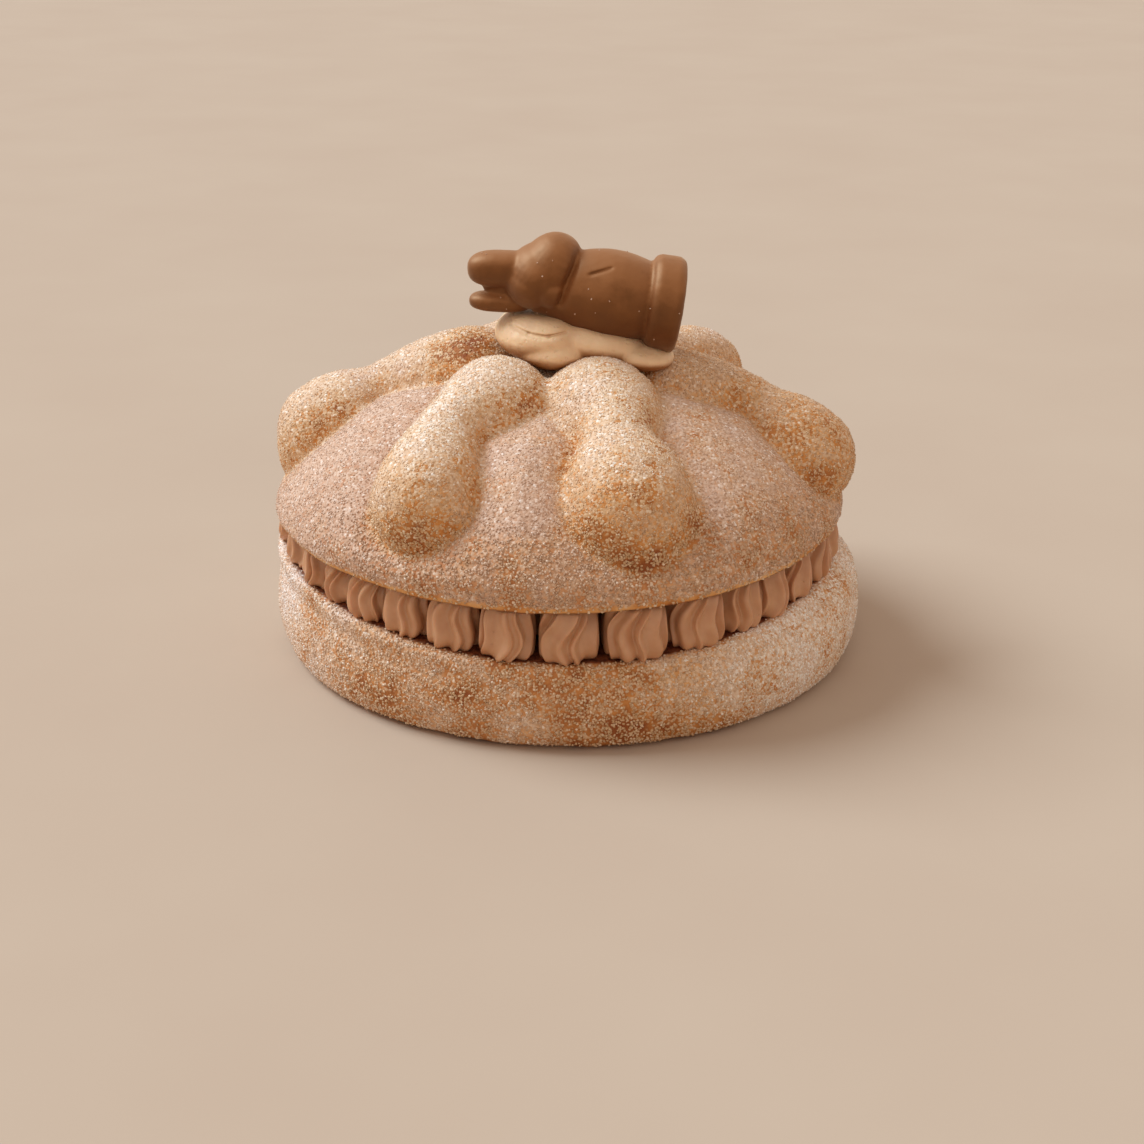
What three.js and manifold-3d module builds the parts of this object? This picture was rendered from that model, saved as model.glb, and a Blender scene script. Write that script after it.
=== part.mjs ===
// Filled pan de muerto: a round sweet loaf cut through level, with stars of cream piped all
// round a layer of cream between base and lid, six arms of dough bones on the lid, a dab of
// coffee cream on its crown, and a small moulded chocolate rabbit lying on its side in that.
// Millimetres, +Z up, front at -Y. The origin is the middle of the foot that it rests on.

import * as THREE from 'three';
import { mergeVertices } from 'three/addons/utils/BufferGeometryUtils.js';
import Module from 'manifold-3d';

// Base of the loaf: radius and height of points up its side, from foot to rim
const loafRadius = 73.1; // at its belly, the widest line of the whole
const baseSide = [
  [69.6, 0],
  [71.3, 1.4],
  [72.5, 4.6],
  [loafRadius, 9],
  [72.6, 14],
  [71.3, 18.4],
  [69, 21.4],
];
const baseLean = { from: 17, by: -2.7 }; // above this height the side curls over along X

// Cut faces, as height in the middle and how that changes towards the loaf's edge:
// tilt to the right, rise to both sides, and sag to front and back
const baseCut = { height: 21.4, tilt: -0.7, rise: 3.7, sag: 2.4 };
const lidCut = { height: 32.6, tilt: 0.44, rise: 1.56, sag: 1 };

// Lid of the loaf
const lidShift = -2; // along X, from the base's axis to the lid's
const lidEdgeRadius = 69.3;
const lidSideRadius = 69.95; // halfway from the edge to the shoulder
const lidRadius = 70.3;
const shoulderHeight = 38; // of the lid's widest line
const crownHeight = 71.5;
const crownPower = { radius: 2.2, height: 1.4 };
const reliefFullAt = 40; // bones and swellings fade out from this height down to the edge
const pillow = 1.8; // how far the dough swells between the bones
const pillowReach = 10;
const seamDepth = 0.8; // of the groove along the foot of a bone
const seamWidth = 2.4;
const boneSoftness = 1.6; // rounding where a bone meets the lid
const ballSoftness = 0.5; // rounding where one ball of a bone meets the next

// Bones: each arm has an outer knob, a waist and an inner knob. angle is in degrees from +X,
// at is the distance from the lid's axis, half is half the width and rise the height.
const arms = [
  {
    knob: { angle: -122.9, at: 58.4, half: 12, rise: 8.2 },
    waist: { angle: -128.4, at: 41.7, half: 7.4, rise: 5.6 },
    inner: { angle: -127.7, at: 26.2, half: 11.8, rise: 6.6 },
  },
  {
    knob: { angle: -73, at: 56, half: 13.6, rise: 7.6 },
    waist: { angle: -72.9, at: 42.5, half: 8.2, rise: 5.8 },
    inner: { angle: -66.4, at: 23.7, half: 12.3, rise: 6.2 },
  },
  {
    knob: { angle: -9.2, at: 60.9, half: 13, rise: 9.6 },
    waist: { angle: -5.7, at: 49, half: 8.3, rise: 5.6 },
    inner: { angle: 0, at: 27, half: 12, rise: 4.4 },
  },
  {
    knob: { angle: 51.2, at: 58.9, half: 10.7, rise: 12.1 },
    waist: { angle: 51.8, at: 42.2, half: 8, rise: 5.8 },
    inner: { angle: 54.1, at: 25.1, half: 11.5, rise: 4.5 },
  },
  {
    knob: { angle: 112.2, at: 58.2, half: 13, rise: 8 },
    waist: { angle: 110.4, at: 41.3, half: 8, rise: 6 },
    inner: { angle: 109.5, at: 23.2, half: 11.5, rise: 5 },
  },
  {
    knob: { angle: 175, at: 60.5, half: 14.1, rise: 9.7 },
    waist: { angle: 171.8, at: 46.9, half: 6.8, rise: 4.9 },
    inner: { angle: 169.2, at: 24, half: 12.5, rise: 7 },
  },
];
const ballsPerHalf = 5;

// Cream between base and lid
const clearance = 0.3; // between pieces that touch
const layerRadius = 54;

// Stars: those in front stand as piped, in degrees to the right of the middle of the front,
// and the rest are spaced evenly round the back
const frontStars = [-60, -51.5, -42.3, -32.3, -21.7, -10.2, 2, 15.8, 29.2, 40.5, 49, 58.5, 69.5];
const backStars = 20;
const starRing = { x: -2.4, radius: 61.9 }; // the circle that they stand on
const starSize = { least: 3.6, perGap: 0.3 }; // radius, which grows with the room it has
const starRidges = 9;
const ridgeDepth = 1.7;
const starTwist = 0.5; // radians from foot to top
const starSide = [
  [0.84, 0],
  [0.97, 0.2],
  [1, 0.5],
  [0.8, 1],
];
const starWander = { out: 0.3, size: 0.03 }; // how much one star differs from the next

// Dab of coffee cream
const dab = { x: 2.6, y: -1, halfX: 21, halfY: 14.5, floor: 58, top: 82.5 };
const dabSlope = { from: -8, fall: 0.17 }; // its top falls to the right
const dabLobes = { three: 0.05, five: 0.03, turn: 0.4 }; // waves in its outline
const dabClearance = 0.39;
const dabSide = [
  [1, 0],
  [1.02, 0.49],
  [1, 0.61],
  [0.96, 0.8],
  [0.86, 0.935],
  [0.7, 1],
];

// Chocolate rabbit: along X, ears to the left, leaning down to its foot on the right
const rabbit = { x: -0.4, y: -5, z: 88.4, lean: 8 };
const foot = { from: 18.6, to: 26.4, radius: 11.5, edge: 1.8 };
const body = { neckAt: -5, neck: 7, fullAt: 10, full: 10.9, end: 20, endRadius: 10 };
const neckOverlap = 3; // how far the body reaches into the head
const bodyRings = 6;
const lumps = [
  { x: -5.4, z: 4.35, halfX: 7.3, halfY: 9, halfZ: 9, turn: 22 }, // crown of the head
  { x: -8.9, z: 0.4, halfX: 6.9, halfY: 8.8, halfZ: 6, turn: 0 }, // cheek
  { x: -4.4, z: 0, halfX: 5.6, halfY: 9.4, halfZ: 4.8, turn: 0 }, // jaw
  { x: -17.2, z: 2, halfX: 8.2, halfY: 4.6, halfZ: 4.6, turn: -12 }, // upper ear
  { x: -15.6, z: -5.4, halfX: 8, halfY: 3.8, halfZ: 2.2, turn: -8 }, // lower ear
  { x: -14.4, z: -1, halfX: 7.8, halfY: 3, halfZ: 4.2, turn: 0 }, // hollow between the ears
];

// How finely each round is divided
const baseSegments = 64;
const lidSegments = 98;
const domeRings = 18;
const layerSegments = 32;
const dabSegments = 32;
const rabbitSegments = 24;
const lumpSegments = { round: 14, high: 9 };

const wasm = await Module();
wasm.setup();

const { degToRad, lerp, smoothstep } = THREE.MathUtils;

// A closed geometry with its seams and poles welded and no empty triangles.
function welded(geometry) {
  geometry.deleteAttribute('normal');
  geometry.deleteAttribute('uv');
  const merged = mergeVertices(geometry, 1e-3);
  const index = merged.index.array;
  const kept = [];
  for (let i = 0; i < index.length; i += 3) {
    const [a, b, c] = [index[i], index[i + 1], index[i + 2]];
    if (a !== b && b !== c && c !== a) {
      kept.push(a, b, c);
    }
  }
  merged.setIndex(kept);
  return merged;
}

// A solid turned round +Z from [radius, height] points, from the middle of its foot to the
// middle of its top.
function turned(profile, segments) {
  const points = profile.map(([radius, height]) => new THREE.Vector2(radius, height));
  const geometry = new THREE.LatheGeometry(points, segments);
  geometry.rotateX(Math.PI / 2);
  return welded(geometry);
}

// Each point of a geometry is moved in place.
function reshaped(geometry, move) {
  const position = geometry.attributes.position;
  const point = new THREE.Vector3();
  for (let i = 0; i < position.count; i += 1) {
    point.fromBufferAttribute(position, i);
    move(point);
    position.setXYZ(i, point.x, point.y, point.z);
  }
  return geometry;
}

function solidOf(geometry) {
  const vertProperties = new Float32Array(geometry.attributes.position.array);
  const triVerts = new Uint32Array(geometry.index.array);
  return new wasm.Manifold(new wasm.Mesh({ numProp: 3, vertProperties, triVerts }));
}

function geometryOf(solid) {
  const mesh = solid.getMesh();
  const geometry = new THREE.BufferGeometry();
  geometry.setAttribute('position', new THREE.BufferAttribute(mesh.vertProperties, 3));
  geometry.setIndex(new THREE.BufferAttribute(mesh.triVerts, 1));
  return welded(geometry);
}

// The larger of two values, with the corner between them rounded off.
function roundMax(a, b, softness) {
  const near = Math.max(softness - Math.abs(a - b), 0) / softness;
  return Math.max(a, b) + near * near * softness * 0.25;
}

// Height of a cut face at a place.
function cutAt({ height, tilt, rise, sag }, x, y) {
  const right = x / loafRadius;
  const back = y / loafRadius;
  return height + tilt * right + rise * right * right - sag * back * back;
}

// A loaf shaped by hand is a little slack between its four fullest places, in millimetres.
function slack(angle) {
  return Math.sin(2 * angle) ** 2 * (0.6 + 0.4 * Math.sin(angle + 0.6));
}

function drawIn(point) {
  const scale = 1 - slack(Math.atan2(point.y, point.x)) / loafRadius;
  point.x *= scale;
  point.y *= scale;
}

function makeBase() {
  const topRings = [layerRadius, layerRadius / 2, 0].map((radius) => [radius, baseCut.height]);
  const profile = [[0, 0], ...baseSide, ...topRings];
  return reshaped(turned(profile, baseSegments), (point) => {
    drawIn(point);
    point.x += baseLean.by * smoothstep(point.z, baseLean.from, baseCut.height);
    point.z *= cutAt(baseCut, point.x, point.y) / baseCut.height;
  });
}

// Height of the plain dome over a place, without bones or swelling.
function domeHeight(radius) {
  const inward = Math.max(1 - (radius / lidRadius) ** crownPower.radius, 0);
  return shoulderHeight + (crownHeight - shoulderHeight) * inward ** (1 / crownPower.height);
}

function domeNormal(point) {
  const radius = Math.hypot(point.x, point.y);
  const rise = Math.max(point.z - shoulderHeight, 0) / (crownHeight - shoulderHeight);
  const outward = (crownPower.radius / lidRadius) * (radius / lidRadius) ** (crownPower.radius - 1);
  const upward =
    (crownPower.height / (crownHeight - shoulderHeight)) * rise ** (crownPower.height - 1);
  const normal = new THREE.Vector3(0, 0, upward);
  if (radius > 0) {
    normal.x = (outward * point.x) / radius;
    normal.y = (outward * point.y) / radius;
  }
  return normal.normalize();
}

// A ball sunk into the dome so that its cap has the width and height of that bit of bone.
function sunkBall({ angle, at, half, rise }) {
  const turn = degToRad(angle);
  const onDome = new THREE.Vector3(at * Math.cos(turn), at * Math.sin(turn), domeHeight(at));
  const radius = (half * half + rise * rise) / (2 * rise);
  const centre = onDome.addScaledVector(domeNormal(onDome), rise - radius);
  return { centre, radius };
}

// Balls from one station of an arm to the next, narrowing or widening smoothly.
function ballsBetween(from, to) {
  const balls = [];
  for (let i = 0; i <= ballsPerHalf; i += 1) {
    const along = i / ballsPerHalf;
    const eased = smoothstep(along, 0, 1);
    balls.push(sunkBall({
      angle: lerp(from.angle, to.angle, along),
      at: lerp(from.at, to.at, along),
      half: lerp(from.half, to.half, eased),
      rise: lerp(from.rise, to.rise, eased),
    }));
  }
  return balls;
}

const boneBalls = arms.flatMap(({ knob, waist, inner }) => [
  ...ballsBetween(knob, waist),
  ...ballsBetween(waist, inner),
]);

// How far a ball's skin lies outward of a point on the dome, negative beside the ball.
function reachOf(ball, point, normal) {
  const offset = point.clone().sub(ball.centre);
  const gap = offset.length() - ball.radius;
  if (gap > 0) {
    return -gap;
  }
  const along = offset.dot(normal);
  return Math.sqrt(along * along - offset.lengthSq() + ball.radius ** 2) - along;
}

function makeLid() {
  const profile = [
    [0, lidCut.height],
    [layerRadius / 2, lidCut.height],
    [layerRadius, lidCut.height],
    [lidEdgeRadius, lidCut.height],
    [lidSideRadius, (lidCut.height + shoulderHeight) / 2],
  ];
  for (let i = domeRings; i >= 0; i -= 1) {
    const swing = (Math.PI / 2) * (i / domeRings);
    const radius = lidRadius * Math.sin(swing) ** (2 / crownPower.radius);
    profile.push([i === 0 ? 0 : radius, domeHeight(radius)]);
  }
  return reshaped(turned(profile, lidSegments), (point) => {
    const up = (point.z - lidCut.height) / (crownHeight - lidCut.height);
    const fade = smoothstep(point.z, lidCut.height, reliefFullAt);
    if (fade > 0) {
      const normal = domeNormal(point);
      let reach = -Infinity;
      for (const ball of boneBalls) {
        reach = roundMax(reach, reachOf(ball, point, normal), ballSoftness);
      }
      const beside = Math.max(-reach, 0);
      const seam = seamDepth * Math.exp(-(((beside - seamWidth) / seamWidth) ** 2));
      const dip = pillow * Math.exp(-((beside / pillowReach) ** 2));
      const dough = -seam - dip;
      point.addScaledVector(normal, fade * roundMax(dough, reach, boneSoftness));
    }
    drawIn(point);
    point.x += lidShift;
    point.z += (cutAt(lidCut, point.x, point.y) - lidCut.height) * (1 - up);
  });
}

// Angle of each star round the ring, and of the gaps to its neighbours on either side.
function starPlaces() {
  const [first, last] = [frontStars[0], frontStars.at(-1)];
  const backGap = (360 - (last - first)) / (backStars + 1);
  const angles = [...frontStars];
  for (let i = 1; i <= backStars; i += 1) {
    angles.push(last + backGap * i);
  }
  return angles.map((angle, i) => {
    const before = i === 0 ? angles.at(-1) - 360 : angles[i - 1];
    const after = i === angles.length - 1 ? angles[0] + 360 : angles[i + 1];
    return {
      angle: degToRad(angle - 90),
      before: degToRad(angle - before),
      after: degToRad(after - angle),
    };
  });
}

// One piped star, pressed by its neighbours, standing on the base and holding up the lid.
function makeStar({ angle, before, after }, number) {
  const uneven = (kind) => Math.sin(number * 2.4 + kind * 1.9);
  const profile = [[0, 0], ...starSide, [0, 1]];
  const ring = starRing.radius + starWander.out * uneven(1);
  const room = (starRing.radius * (before + after)) / 2;
  const size = (starSize.least + starSize.perGap * room) * (1 + starWander.size * uneven(2));
  return reshaped(turned(profile, starRidges * 2), (point) => {
    const up = point.z;
    const from = Math.atan2(point.y, point.x);
    const ridge = Math.cos(starRidges * from) * 0.5 - 0.5;
    const radius = Math.hypot(point.x, point.y) * (size + ridgeDepth * ridge);
    const turn = from + starTwist * up + uneven(3);
    const outward = ring + radius * Math.cos(turn);
    const least = clearance / 2 - outward * Math.tan(before / 2);
    const most = outward * Math.tan(after / 2) - clearance / 2;
    const aside = THREE.MathUtils.clamp(radius * Math.sin(turn), least, most);
    point.x = starRing.x + outward * Math.cos(angle) - aside * Math.sin(angle);
    point.y = outward * Math.sin(angle) + aside * Math.cos(angle);
    const low = cutAt(baseCut, point.x, point.y) + clearance;
    point.z = lerp(low, cutAt(lidCut, point.x, point.y) - clearance, up);
  });
}

function makeLayer() {
  const profile = [
    [0, 0],
    [layerRadius / 2, 0],
    [layerRadius, 0],
    [layerRadius, 1],
    [layerRadius / 2, 1],
    [0, 1],
  ];
  return reshaped(turned(profile, layerSegments), (point) => {
    point.x += starRing.x;
    const low = cutAt(baseCut, point.x, point.y) + clearance;
    point.z = lerp(low, cutAt(lidCut, point.x, point.y) - clearance, point.z);
  });
}

// The rabbit is modelled along its own axis, then laid over. grow makes it that much fatter
// all over, for the print that it leaves.
function makeRabbit(grow) {
  const footProfile = [
    [0, foot.from - grow],
    [foot.radius - foot.edge + grow, foot.from - grow],
    [foot.radius + grow, foot.from + foot.edge - grow],
    [foot.radius + grow, foot.to - foot.edge + grow],
    [foot.radius - foot.edge + grow, foot.to + grow],
    [0, foot.to + grow],
  ];
  const bodyProfile = [[0, body.neckAt - neckOverlap]];
  for (let i = 0; i <= bodyRings; i += 1) {
    const at = lerp(body.neckAt, body.end, i / bodyRings);
    const end = at < body.fullAt ? body.neckAt : body.end;
    const endRadius = at < body.fullAt ? body.neck : body.endRadius;
    const off = (at - body.fullAt) / (end - body.fullAt);
    bodyProfile.push([lerp(body.full, endRadius, off * off) + grow, at]);
  }
  bodyProfile.push([0, body.end]);
  let solid = solidOf(turned(footProfile, rabbitSegments).rotateY(Math.PI / 2));
  solid = solid.add(solidOf(turned(bodyProfile, rabbitSegments).rotateY(Math.PI / 2)));
  for (const { x, z, halfX, halfY, halfZ, turn } of lumps) {
    const lump = new THREE.SphereGeometry(1, lumpSegments.round, lumpSegments.high);
    lump.scale(halfX + grow, halfY + grow, halfZ + grow);
    lump.rotateY(degToRad(turn));
    lump.translate(x, 0, z);
    solid = solid.add(solidOf(welded(lump)));
  }
  const geometry = geometryOf(solid);
  geometry.rotateY(degToRad(rabbit.lean));
  geometry.translate(rabbit.x, rabbit.y, rabbit.z);
  return geometry;
}

// The dab is spooned on: it fills the hollows between the bones and takes the rabbit's print.
function makeDab(lid) {
  const side = dabSide.map(([radius, up]) => [radius, lerp(dab.floor, dab.top, up)]);
  const profile = [[0, dab.floor], ...side, [0, dab.top]];
  const blob = reshaped(turned(profile, dabSegments), (point) => {
    const turn = Math.atan2(point.y, point.x);
    const three = dabLobes.three * Math.sin(3 * turn + dabLobes.turn);
    const outline = 1 + three + dabLobes.five * Math.sin(5 * turn);
    point.x = dab.x + point.x * dab.halfX * outline;
    point.y = dab.y + point.y * dab.halfY * outline;
    const up = (point.z - dab.floor) / (dab.top - dab.floor);
    point.z -= up * dabSlope.fall * Math.max(point.x - dabSlope.from, 0);
  });
  const raisedLid = lid.clone().translate(0, 0, dabClearance);
  const print = makeRabbit(clearance);
  return geometryOf(solidOf(blob).subtract(solidOf(raisedLid)).subtract(solidOf(print)));
}

function paint(color, roughness) {
  return new THREE.MeshStandardMaterial({ color, roughness, metalness: 0 });
}

const pan = new THREE.Group();

function place(name, geometry, material) {
  geometry.computeVertexNormals();
  const mesh = new THREE.Mesh(geometry, material);
  mesh.name = name;
  pan.add(mesh);
}

const lid = makeLid();

place('base_bread', makeBase(), paint('#cf9c6c', 0.85));
place('cream_layer', makeLayer(), paint('#d9b596', 0.5));
starPlaces().forEach((spot, number) => {
  const name = `cream_star_${String(number + 1).padStart(2, '0')}`;
  place(name, makeStar(spot, number), paint('#dcb698', 0.45));
});
place('lid_bread', lid, paint('#dcb38c', 0.85));
place('cream_dab', makeDab(lid), paint('#d3a273', 0.6));
place('chocolate_rabbit', makeRabbit(0), paint('#7d4a2b', 0.5));

export default pan;
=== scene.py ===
# %% [markdown]
# # Filled pan de muerto
#
# A round sweet loaf, cut through level and filled with piped stars of coffee cream. Six arms of
# dough bones lie on its lid, the crust is coated in coarse sugar, and a small chocolate rabbit
# lies on its side in a dab of cream on the crown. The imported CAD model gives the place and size
# of each piece, and this script makes the pieces that are seen. All lengths below are in
# millimetres, and MM turns them into Blender's metres.

import math

import bpy
import numpy as np
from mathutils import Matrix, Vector, noise
from mathutils.bvhtree import BVHTree


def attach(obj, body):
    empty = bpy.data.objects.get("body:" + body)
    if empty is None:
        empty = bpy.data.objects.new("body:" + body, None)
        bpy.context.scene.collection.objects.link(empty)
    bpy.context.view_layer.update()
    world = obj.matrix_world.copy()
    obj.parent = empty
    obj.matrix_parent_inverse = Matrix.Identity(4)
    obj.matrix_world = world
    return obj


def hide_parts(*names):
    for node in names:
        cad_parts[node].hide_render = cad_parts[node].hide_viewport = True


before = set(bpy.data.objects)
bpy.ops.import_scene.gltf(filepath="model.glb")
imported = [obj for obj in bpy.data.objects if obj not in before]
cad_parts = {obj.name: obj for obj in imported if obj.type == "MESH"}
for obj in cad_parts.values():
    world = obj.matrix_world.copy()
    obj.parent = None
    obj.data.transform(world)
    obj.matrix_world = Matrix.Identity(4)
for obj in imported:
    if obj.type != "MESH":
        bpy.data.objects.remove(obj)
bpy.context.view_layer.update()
MM = 0.001
print("CAD nodes:", len(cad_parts))

# %% [markdown]
# ## Helpers
#
# An operator acts on all that is selected, so `only` selects just the pieces that it should act
# on. `applied` adds one modifier and bakes it into the mesh, which is how each step below ends.
# `joined` also applies the place of what it joins, so that a piece's own coordinates are those of
# the whole loaf. `points` and `move_to` read and write all the vertices of a piece at once, in
# millimetres, for the shaping that a modeller would do with soft selection or a sculpting brush.

# %% Helpers for objects
def only(*pieces):
    bpy.ops.object.select_all(action="DESELECT")
    for piece in pieces:
        piece.select_set(True)
    bpy.context.view_layer.objects.active = pieces[0]


def applied(piece, kind, **settings):
    only(piece)
    modifier = piece.modifiers.new(kind, kind)
    for setting, value in settings.items():
        setattr(modifier, setting, value)
    bpy.ops.object.modifier_apply(modifier=modifier.name)


def joined(name, pieces):
    only(*pieces)
    bpy.ops.object.join()
    bpy.ops.object.transform_apply(location=True, rotation=True, scale=True)
    piece = bpy.context.active_object
    piece.name = piece.data.name = name
    return piece


def worn(piece, material):
    """Give a finished piece its material, and its place in the frame."""
    piece.data.materials.clear()
    piece.data.materials.append(material)
    piece.data.shade_smooth()
    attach(piece, "root")
    print(piece.name, "faces:", len(piece.data.polygons))


# %% Helpers for the vertices of a piece
def points(piece):
    flat = np.empty(len(piece.data.vertices) * 3)
    piece.data.vertices.foreach_get("co", flat)
    return flat.reshape(-1, 3) / MM


def move_to(piece, places):
    piece.data.vertices.foreach_set("co", (places * MM).ravel())
    piece.data.update()


def normals(piece):
    flat = np.empty(len(piece.data.vertices) * 3)
    piece.data.vertices.foreach_get("normal", flat)
    return flat.reshape(-1, 3)


def smoothstep(low, high, value):
    """From 0 at low to 1 at high, without a kink at either end."""
    share = np.clip((value - low) / (high - low), 0, 1)
    return share * share * (3 - 2 * share)


# %% [markdown]
# ## Solids turned from a profile
#
# Base, lid and rabbit all start as a profile of radius and height that is spun round the upright
# axis, as a potter would turn them. They could be grown from a cylinder instead, but a profile
# is easier to read off a photograph. A voxel remesh then gives even faces all over, so that
# later smoothing and displacing act alike everywhere.

# %% Turn a profile into a closed solid
def turned(name, profile, steps):
    mesh = bpy.data.meshes.new(name)
    edges = [(i, i + 1) for i in range(len(profile) - 1)]
    mesh.from_pydata([(r * MM, 0, z * MM) for r, z in profile], edges, [])
    piece = bpy.data.objects.new(name, mesh)
    bpy.context.collection.objects.link(piece)
    only(piece)
    bpy.ops.object.mode_set(mode="EDIT")
    bpy.ops.mesh.select_all(action="SELECT")
    bpy.ops.mesh.spin(steps=steps, angle=math.tau, center=(0, 0, 0), axis=(0, 0, 1))
    bpy.ops.mesh.select_all(action="SELECT")
    bpy.ops.mesh.remove_doubles(threshold=0.01 * MM)
    bpy.ops.mesh.normals_make_consistent(inside=False)
    bpy.ops.object.mode_set(mode="OBJECT")
    return piece


def remeshed(piece, voxel, smoothing):
    applied(piece, "REMESH", mode="VOXEL", voxel_size=voxel * MM)
    if smoothing:
        applied(piece, "SMOOTH", factor=0.5, iterations=smoothing)


# %% [markdown]
# ## Uneven surfaces
#
# Nothing on a loaf is exact. The Displace modifier pushes the skin in and out by a cloud texture
# of a chosen grain, once with a coarse grain for the hand-made form and again with a fine one
# for the crust. Sculpting would do it too, but this gives the same skin on each run.

# %% Roughen a skin with a cloud texture
def roughened(piece, grain, depth):
    clouds = bpy.data.textures.new("clouds", "CLOUDS")
    clouds.noise_scale = grain * MM
    clouds.noise_depth = 2
    strength = depth * MM
    applied(piece, "DISPLACE", texture=clouds, texture_coords="LOCAL", strength=strength)


# %% [markdown]
# ## Camera and light
#
# The camera stands where the photographer's stood: about half a metre away and 24 degrees above
# the loaf, with a 63 mm lens. The light is one big soft source high on the left and a little
# behind, with the pale surroundings filling the shadows.

# %% Camera
lens = bpy.data.cameras.new("camera")
lens.sensor_width = 36
lens.lens = 62.94
camera = bpy.data.objects.new("camera", lens)
camera.location = Vector((-0.3, -467.49, 203.78)) * MM
camera.rotation_euler = [math.radians(a) for a in (67.9225, -0.6145, 0.1168)]
bpy.context.collection.objects.link(camera)
bpy.context.scene.camera = camera
bpy.context.scene.view_settings.view_transform = "Standard"

# %% Light
key = bpy.data.lights.new("softbox", "SUN")
key.energy = 2.7
key.angle = math.radians(36)
key.color = (0.82, 0.93, 1)
softbox = bpy.data.objects.new("softbox", key)
softbox.rotation_euler = Vector((-0.65, 0.24, 0.72)).to_track_quat("Z", "Y").to_euler()
bpy.context.collection.objects.link(softbox)

world = bpy.data.worlds.new("studio")
bpy.context.scene.world = world
world.use_nodes = True
surroundings = world.node_tree.nodes["Background"].inputs
surroundings["Color"].default_value = (1, 0.84, 0.72, 1)
surroundings["Strength"].default_value = 0.62

# %% [markdown]
# ## Materials from nodes
#
# Every finish is built from procedural nodes on Object coordinates. `node` adds one node with
# its inputs, which may be values or another node's output, and `ramp` and `mixed` are the two
# used most. A pattern's scale is given by the size of its grain in millimetres. `paint` reads
# an attribute that was painted on the mesh, and `finished` sets the shader's own values.

# %% Helpers for any node
def added(tree, kind, inputs, settings):
    made = tree.nodes.new(kind)
    for setting, value in settings.items():
        setattr(made, setting, value)
    for name, value in inputs.items():
        if isinstance(value, bpy.types.NodeSocket):
            tree.links.new(value, made.inputs[name])
        else:
            made.inputs[name].default_value = value
    return made


def node(tree, kind, inputs, **settings):
    return added(tree, "ShaderNode" + kind, inputs, settings)


def maths(tree, operation, first, second):
    return node(tree, "Math", {0: first, 1: second}, operation=operation).outputs[0]


# %% Helpers for colours
def colour(code):
    channels = [int(code[i : i + 2], 16) / 255 for i in (1, 3, 5)]
    linear = [c / 12.92 if c < 0.04045 else ((c + 0.055) / 1.055) ** 2.4 for c in channels]
    return (*linear, 1)


def ramp(tree, factor, stops):
    made = node(tree, "ValToRGB", {"Fac": factor})
    elements = made.color_ramp.elements
    while len(elements) < len(stops):
        elements.new(0.5)
    for element, (at, code) in zip(elements, stops):
        element.position = at
        element.color = colour(code) if isinstance(code, str) else (code, code, code, 1)
    return made.outputs["Color"]


def mixed(tree, factor, first, second):
    inputs = {0: factor, 6: first, 7: second}
    return node(tree, "Mix", inputs, data_type="RGBA").outputs[2]


# %% Helpers for patterns
def cloudy(tree, place, grain, detail=3.0, rough=0.55):
    inputs = {"Vector": place, "Scale": 1 / (grain * MM), "Detail": detail, "Roughness": rough}
    return node(tree, "TexNoise", inputs).outputs["Fac"]


def cells(tree, place, grain):
    return node(tree, "TexVoronoi", {"Vector": place, "Scale": 1 / (grain * MM)}).outputs


def paint(tree, name):
    return node(tree, "Attribute", {}, attribute_name=name).outputs["Fac"]


# %% Helpers for a material
def new_material(name):
    material = bpy.data.materials.new(name)
    material.use_nodes = True
    tree = material.node_tree
    place = node(tree, "TexCoord", {}).outputs["Object"]
    return material, tree, tree.nodes["Principled BSDF"], place


def coloured(tree, shader, socket):
    tree.links.new(socket, shader.inputs["Base Color"])


def finished(shader, values):
    for name, value in values.items():
        shader.inputs[name].default_value = value


def bumped(tree, shader, height, strength, distance):
    inputs = {"Height": height, "Strength": strength, "Distance": distance * MM}
    normal = node(tree, "Bump", inputs).outputs["Normal"]
    tree.links.new(normal, shader.inputs["Normal"])


# %% [markdown]
# ## Floor
#
# A plain pale sheet many times wider than the loaf, in a tone that hardly varies.

# %% Floor
paper, tree, shader, place = new_material("pale_floor")
coloured(tree, shader, ramp(tree, cloudy(tree, place, 90), [(0.3, "#c1ae9c"), (0.7, "#c4b2a0")]))
finished(shader, {"Roughness": 0.9})
bpy.ops.mesh.primitive_plane_add(size=8, location=(0, 0, 0))
floor = bpy.context.active_object
floor.name = "floor"
floor.data.materials.append(paper)

# %% [markdown]
# ## Base
#
# The lower slice of the loaf is a flat round with a belly near its foot, where the dough spread
# as it baked, and a cut face on top. Its profile is spun, remeshed and smoothed, the skin is
# roughened, and the cut face is bowed as the CAD model's is. The places from before the bowing
# are kept, because paint is easier to place on a loaf that is still level.

# %% Cut faces: height in the middle, tilt to the right, rise to both sides, sag to the front
LOAF = 73.1  # widest radius of the loaf
BASE_CUT = (21.4, -0.7, 3.7, 2.4)
LID_CUT = (32.6, 0.44, 1.56, 1.0)


def cut_at(cut, x, y):
    height, tilt, rise, sag = cut
    return height + tilt * x / LOAF + rise * (x / LOAF) ** 2 - sag * (y / LOAF) ** 2


def drawn_in(places):
    """A loaf shaped by hand is a little slack between its four fullest places."""
    angle = np.arctan2(places[:, 1], places[:, 0])
    slack = np.sin(2 * angle) ** 2 * (0.6 + 0.4 * np.sin(angle + 0.6))
    places[:, :2] *= (1 - slack / LOAF)[:, None]
    return places


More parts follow.
